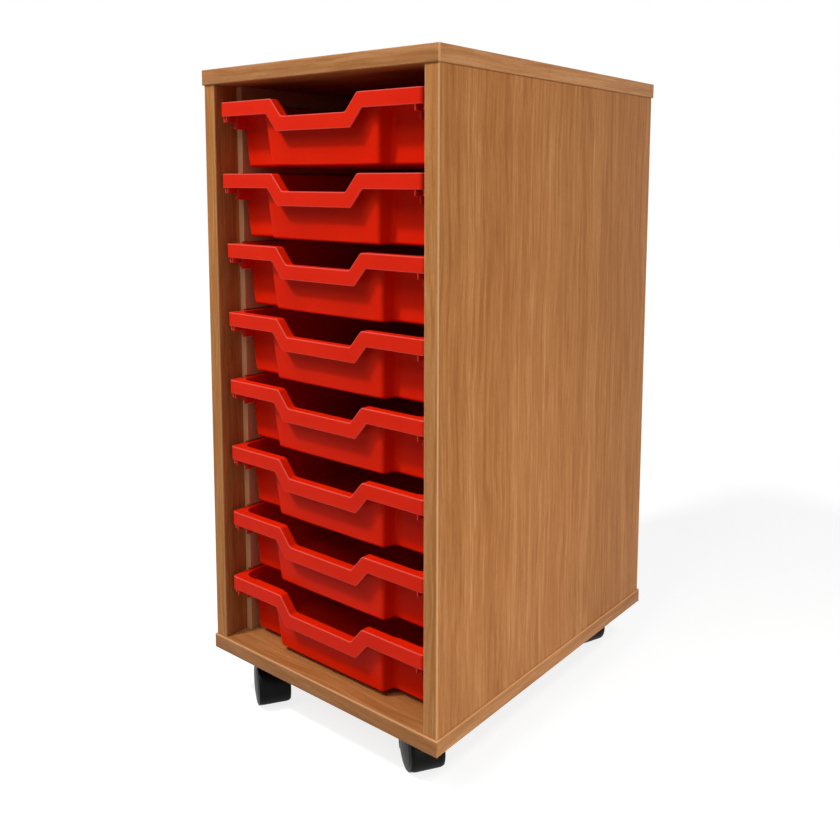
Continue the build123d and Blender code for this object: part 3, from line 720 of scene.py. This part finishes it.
def outline_corners(kind, inset, z):
    """Sharp corners of the right half of a tray's outline, from the front's middle to the back's,
    and the cut at each of the four between, for the body (0), the collar (1) and the rim (2)."""
    share = np.maximum(-z - COLLAR_DEPTH, 0) / (TRAY_HEIGHT - COLLAR_DEPTH)
    flat = np.zeros_like(inset)
    half = np.where(kind == 2, RIM_HALF, BODY_HALF - share * SIDE_TAPER) - inset
    panel = np.where(kind == 0, PANEL_HALF - share * PANEL_TAPER - inset, PANEL_HALF)
    wall = TRAY_FRONT + COLLAR_SETBACK
    front = np.where(kind == 2, TRAY_FRONT, wall + share * PANEL_RAKE) + inset
    end = np.where(kind == 0, wall + END_SETBACK + share * END_RAKE + inset, front)
    root = np.where(kind == 0, panel + PANEL_FLARE * (end - front), PANEL_HALF + SPARE_STEP)
    overhang = np.where(kind == 2, 0.0, RIM_HALF - BODY_HALF + share * SIDE_TAPER)
    back = TRAY_BACK - overhang - inset
    corners = np.stack([
        np.stack([flat, front], -1), np.stack([panel, front], -1), np.stack([root, end], -1),
        np.stack([half, end], -1), np.stack([half, back], -1), np.stack([flat, back], -1),
    ], axis=1)
    inside = np.where(inset > DEEP_INSET, INNER_CUT, 0.0)
    cuts = [np.where(kind == 0, cut, SPARE_CUT) for cut in (PANEL_CUT - inside, ROOT_CUT + inside)]
    cuts += [np.maximum(np.choose(kind, radii) - inset, LEAST_CUT) for radii in (FRONT_CORNERS, BACK_CORNERS)]
    return corners, np.stack(cuts, axis=1), np.where(kind == 2, inset + cuts[2], 0.0)


def half_outline(corners, cuts, lead):
    """Points along many half outlines at once: along the straights, and round each corner as a
    weighted mean of the cut before it, the corner itself and the cut after it. With u running from
    0 to 1 and v being 1 less u, the weights are v squared, twice u times v times the cosine of half
    the turn, and u squared, which gives a circle's arc. The first places along the side are those of
    the returns, less each row's lead."""
    way = corners[:, 1:] - corners[:, :-1]
    way = way / np.linalg.norm(way, axis=2, keepdims=True)
    leave = np.concatenate([corners[:, :1], corners[:, 1:-1] + cuts[..., None] * way[:, 1:]], axis=1)
    arrive = np.concatenate([corners[:, 1:-1] - cuts[..., None] * way[:, :-1], corners[:, -1:]], axis=1)
    dip = np.array(DIP_PLACES) / (PANEL_HALF - SPARE_CUT)
    returns = np.array([place for place, _ in RETURNS] + list(SIDE_PLACES))
    runs = (dip, STEP_SHARES, END_SHARES, returns, BACK_SHARES)
    points = []
    for number, places in enumerate(runs):
        start, stop = leave[:, number, None], arrive[:, number, None]
        share = np.array(places, float)[None, :, None]
        if number == SIDE_RUN:
            share = (share - lead[:, None, None]) / np.linalg.norm(stop - start, axis=2, keepdims=True)
        points.append(start + share * (stop - start))
        if number < len(BEND_POINTS):
            u = np.linspace(0.0, 1.0, BEND_POINTS[number])[None, :, None]
            cosine = np.sum(way[:, number] * way[:, number + 1], axis=1)
            w = np.sqrt((1 + cosine) / 2)[:, None, None]
            weight = (1 - u) ** 2 + 2 * u * (1 - u) * w + u ** 2
            apex = corners[:, number + 1, None]
            start, stop = arrive[:, number, None], leave[:, number + 1, None]
            points.append(((1 - u) ** 2 * start + 2 * u * (1 - u) * w * apex + u ** 2 * stop) / weight)
    side = sum(len(places) for places in runs[:SIDE_RUN]) + sum(BEND_POINTS[:SIDE_RUN])
    return np.concatenate(points, axis=1), len(dip), side, len(returns)


def tray_section():
    """Rows of the tray's wall, from the floor inside, up and over the rim, down the band and back
    to the floor outside: kind of outline, inset and height, with quarter circles at the edges. A kind
    between 0 and 1 is a point of the ledge between the body and the collar. Last comes the share of
    the lip's own depth in the height."""
    q = np.linspace(0.0, math.pi / 2, ARC)
    floor, mouth, edge, lip = -TRAY_HEIGHT + WALL, MOUTH_EDGE, RIM_EDGE, LIP_EDGE
    bend = FLOOR_INSIDE
    rows = [(0, WALL + bend + SUPPORT, floor, 0)]
    rows += [(0, WALL + bend * (1 - math.sin(a)), floor + bend * (1 - math.cos(a)), 0) for a in q]
    rows += [(0, WALL, z, 0) for z in PLAIN_INSIDE]
    rows += [(k, WALL, z, 0) for k, z in LEDGE_INSIDE]
    rows += [(1, WALL, -mouth - SUPPORT, 0)]
    rows += [(1, WALL - mouth * (1 - math.cos(a)), -mouth * (1 - math.sin(a)), 0) for a in q]
    inside = len(rows)
    rows += [(1, WALL - mouth - SUPPORT, 0.0, 0), (2, edge + SUPPORT, 0.0, 0)]
    rows += [(2, edge * (1 - math.sin(a)), -edge * (1 - math.cos(a)), 0) for a in q]
    rows += [(2, 0, -edge - SUPPORT, 0), (2, 0, lip + SUPPORT, 1)]
    rows += [(2, lip * (1 - math.cos(a)), lip * (1 - math.sin(a)), 1) for a in q]
    rows += [(2, WALL - lip * (1 - math.sin(a)), lip * (1 - math.cos(a)), 1) for a in q]
    rows += [(2, WALL + out, -WALL - down, 0) for out, down in NOOK]
    under = len(rows)
    rows += [(1, -out, -WALL - down, 0) for out, down in NOOK[::-1]]
    rows += [(1, 0, z, 0) for z in PLAIN_COLLAR]
    rows += [(k, 0, z, 0) for k, z in LEDGE_OUTSIDE]
    rows += [(0, 0, z, 0) for z in PLAIN_OUTSIDE]
    bend = FLOOR_EDGE
    rows += [(0, 0, -TRAY_HEIGHT + bend + SUPPORT, 0)]
    rows += [(0, bend * (1 - math.cos(a)), -TRAY_HEIGHT + bend * (1 - math.sin(a)), 0) for a in q]
    rows += [(0, bend + SUPPORT, -TRAY_HEIGHT, 0)]
    return np.array(rows, float), inside, under


def tray_surface():
    """One tray with its rim at height 0, in millimetres. Every row of the section goes once round
    the tray. Across the front the wall's rows are drawn down in proportion under the finger dip, and
    those of the rim and the band follow the dip's line square below its edge."""
    rows, inside, under = tray_section()
    kind, inset, z, from_lip = rows.T
    low_kind = np.floor(kind).astype(int)
    near, front, side, steps = half_outline(*outline_corners(low_kind, inset, z))
    ledge = (kind > 0) & (kind < 1)
    far = half_outline(*outline_corners(np.where(ledge, 1, low_kind), inset, z))[0]
    points = near + np.where(ledge, kind, 0)[:, None, None] * (far - near)
    count = points.shape[1]
    depth = np.full(count, BAND)
    depth[side:side + steps] = [value for _, value in RETURNS] + [SIDE_LIP] * (steps - len(RETURNS))
    depth[side + steps:] = SIDE_LIP
    height = np.where(from_lip[:, None] > 0, z[:, None] - depth, z[:, None])
    x = points[:, :front, 0]
    number = np.arange(len(rows))
    for first, last, top, bottom in (
        (0, inside, -MOUTH_EDGE, -TRAY_HEIGHT + WALL),
        (under + 2, len(rows), -WALL - NOOK[0][1], -TRAY_HEIGHT),
    ):
        wall = (number >= first) & (number < last) & (z <= top + NEARLY)
        lowered = dip_line(x[wall], -top)
        height[wall, :front] = bottom + (height[wall, :front] - bottom) * (lowered - bottom) / (top - bottom)
        share = np.maximum(-height[wall, :front] - COLLAR_DEPTH, 0) / (TRAY_HEIGHT - COLLAR_DEPTH)
        points[wall, :front, 1] = TRAY_FRONT + COLLAR_SETBACK + share * PANEL_RAKE + inset[wall, None]
    mouth = (number >= inside - ARC) & ((number >= inside) | (z >= -MOUTH_EDGE + NEARLY))
    for row in np.flatnonzero(mouth & (number < under + 2)):
        drop = -height[row, :front]
        height[row, :front] = dip_line(x[row], drop[0])
    points = np.concatenate([points, height[..., None]], axis=2)
    mirrored = points[:, -2:0:-1] * [-1, 1, 1]
    return np.concatenate([points, mirrored], axis=1)


def block(low, high, bend):
    """Block with rounded edges. A grid on each face of the box is drawn back to the box inside it,
    shrunk by the bend, and pushed out from there by the bend along the line between the two."""
    low, high = np.array(low, float), np.array(high, float)
    swing = bend * np.tan(np.linspace(0.0, math.pi / 4, WEB_ARC))
    vertices, faces, start = [], [], 0
    for axis in range(3):
        for side in (0, 1):
            across, up = (axis + 1) % 3, (axis + 2) % 3
            ticks = np.concatenate([low + bend - swing[::-1, None], high - bend + swing[:, None]])
            u, v = np.meshgrid(ticks[:, across], ticks[:, up], indexing="ij")
            points = np.empty(u.shape + (3,))
            points[..., axis], points[..., across], points[..., up] = (low, high)[side][axis], u, v
            nearest = np.clip(points, low + bend, high - bend)
            away = points - nearest
            points = nearest + bend * away / np.linalg.norm(away, axis=-1, keepdims=True)
            made, (quads,) = grid(points)
            vertices.append(made)
            rows = quads if side else quads[:, ::-1]
            faces.append(rows + start)
            start += len(made)
    vertices, faces = np.concatenate(vertices), np.concatenate(faces)
    _, first, same = np.unique(np.round(vertices, 8), axis=0, return_index=True, return_inverse=True)
    return vertices[first], [same.reshape(-1)[faces]]


_, inside, under = tray_section()
RED_STOPS = ((0.3, (0.74, 0.014, 0.0015)), (0.7, (0.80, 0.018, 0.0020)))
PAINTED_HIGHLIGHT_RED = (0.80, 0.190, 0.155, 1.0)
# Pale lines are painted as highlights along the rim's and the lip's edges and the webs' and gussets' front
# edges, and a faint painted reflection lies over the band.
PAINTED_HIGHLIGHT_ROWS = (                # rows of the wall, and the share of painted highlight on their red
    (WEB_ROW - 1.0, WEB_ROW + 1.0, 0.18), # the front edges of the webs and gussets
    (inside + 1.5, inside + 6.5, 0.40),   # the rim's edge
    (inside + 6.5, inside + 8.5, 0.03),   # its outer face and the band, a faint painted reflection
    (inside + 8.5, under - 4.0, 0.40),    # the lip's edge
)

red, tree, shader, place = new_material("tray_red")
cloud = noise(tree, place, 18.0, 3.0)
along = node(tree, "SeparateXYZ", {0: node(tree, "TexCoord").outputs["UV"]}).outputs[1]
# mixes those painted highlights into the red, row by row, through the UV's second coordinate
painted_highlight = 0.0
for first, last, pale in PAINTED_HIGHLIGHT_ROWS:
    middle, half = (first + last) / 2, (last - first) / 2
    off = reckoned(tree, "ABSOLUTE", reckoned(tree, "SUBTRACT", along, middle))
    share = remapped(tree, off, half - ROW_FADE, half + ROW_FADE, pale, 0.0)
    painted_highlight = reckoned(tree, "MAXIMUM", painted_highlight, share)
feed(tree, shader, {
    "Base Color": mixed(tree, painted_highlight, tinted(tree, cloud, RED_STOPS), PAINTED_HIGHLIGHT_RED),
    "Roughness": remapped(tree, cloud, 0.0, 1.0, 0.26, 0.34),
    "Specular IOR Level": 0.04,
    "Normal": bumped(tree, noise(tree, place, 2600.0, 2.0), 0.10),
})

tray_skin = tray_surface() / 1000.0
row_of = np.repeat(np.arange(len(tray_skin)), tray_skin.shape[1])
web_end = BODY_HALF - RETURN_INSET
rib_back = COLLAR_SETBACK + END_SETBACK + WALL / 2
plates = (
    ((web_end + WALL * WEB_LAP, RIM_HALF - WEB_INSET), RETURN_WEB, (WEB_LOW, -WALL / 2)),
    ((web_end, web_end + WALL), (RETURN_WEB[0], rib_back), (WEB_LOW, -COLLAR_DEPTH - WALL / 2)),
    *GUSSETS,
)
webs = []
for side in (-1, 1):
    for across, (near, far), (low, high) in plates:
        ends = sorted(side * x for x in across)
        corners = [(ends[0], TRAY_FRONT + near, low), (ends[1], TRAY_FRONT + far, high)]
        webs.append(block(*(np.array(corners) / 1000), WEB_ROUNDING))
fronts = [web[:, 1] < web[:, 1].min() + WEB_FRONT for web, _ in webs]
web_rows = np.where(np.concatenate(fronts), WEB_ROW, 0.0)
for number in range(1, TRAY_COUNT + 1):
    lift = np.array([0.0, -TRAY_OUT.get(number, 0.0), TOP_TRAY - TRAY_PITCH * (number - 1)])
    skin, faces = grid(tray_skin + lift, around=True, caps=True)
    parts = [(skin, faces)] + [(web + lift, web_faces) for web, web_faces in webs]
    made = piece(f"tray_{number}_moulding", parts, red, f"tray_{number}", [f"tray_{number}"])
    corners = np.empty(len(made.data.loops), int)
    made.data.loops.foreach_get("vertex_index", corners)
    places = np.zeros((len(made.data.vertices), 2))
    places[:len(row_of), 1] = row_of
    places[-len(web_rows):, 1] = web_rows
    made.data.uv_layers.new(name="wall").data.foreach_set("uv", places[corners].ravel())
